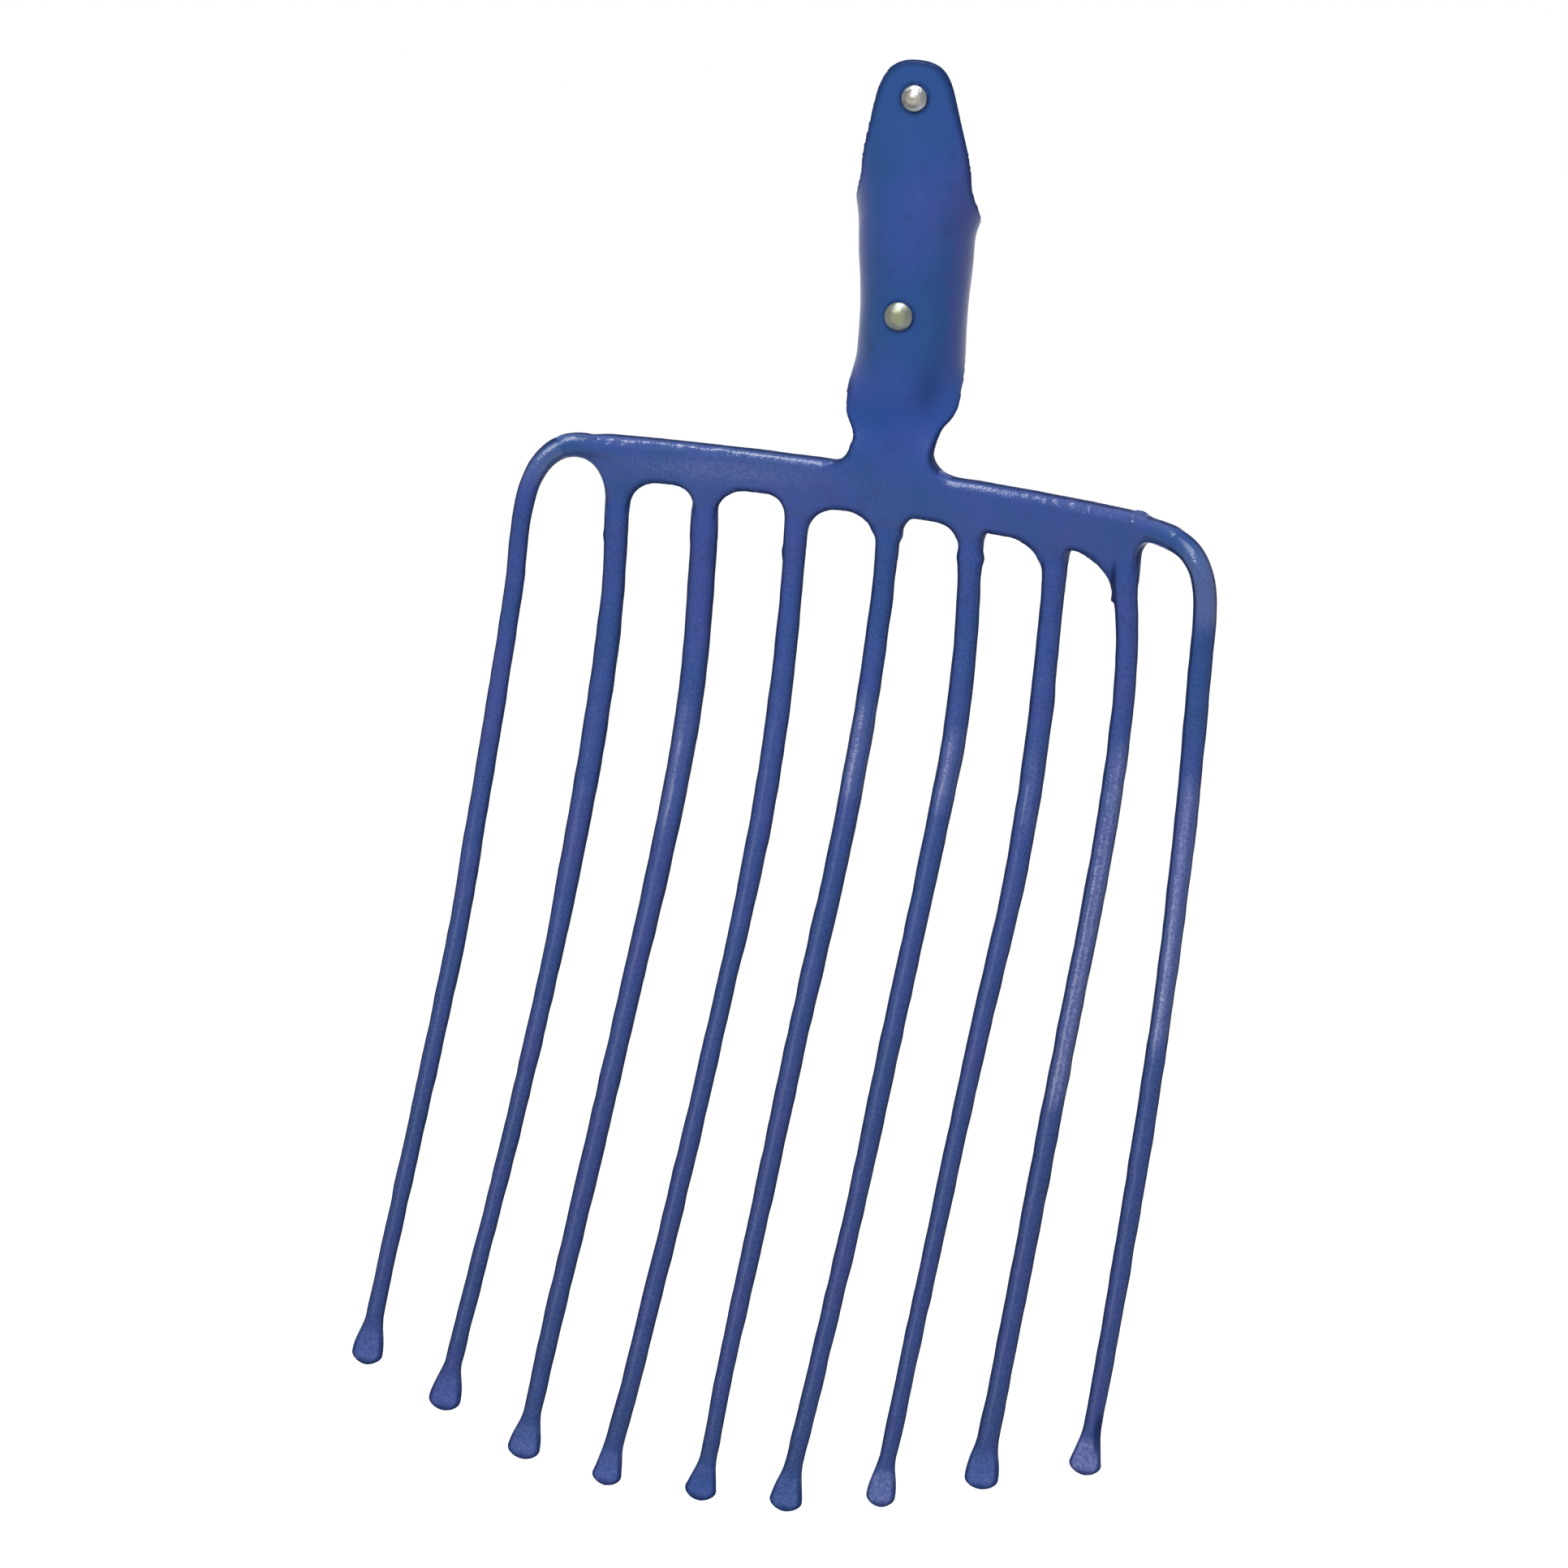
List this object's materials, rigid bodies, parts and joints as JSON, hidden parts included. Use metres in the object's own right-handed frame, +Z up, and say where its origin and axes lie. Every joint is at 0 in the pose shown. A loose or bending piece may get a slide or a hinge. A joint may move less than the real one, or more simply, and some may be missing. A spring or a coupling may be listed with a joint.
{
  "type": "stone fork head",
  "caption": "Wide dished fork head with long round tines ending in flattened paddles, a rolled handle socket and a riveted tongue.",
  "frame": {"origin": "centre of the handle socket's mouth, level with the rim", "axes": "+Z up along the handle, out of the socket; +X to the right as seen from the front; -Y to the front, the hollow side that carries the load"},
  "size_m": [0.2839, 0.1954, 0.5128],
  "materials": {
    "plate_paint": "glossy blue enamel",
    "tine_paint": "glossy blue enamel",
    "rivet_steel": "bright steel"
  },
  "bodies": {
    "root": {"head_plate": "plate_paint", "tine_1": "tine_paint", "tine_2": "tine_paint", "tine_3": "tine_paint", "tine_4": "tine_paint", "tine_5": "tine_paint", "tine_6": "tine_paint", "tine_7": "tine_paint", "tine_8": "tine_paint", "tine_9": "tine_paint", "rivet_upper": "rivet_steel", "rivet_lower": "rivet_steel"}
  },
  "joints": []
}
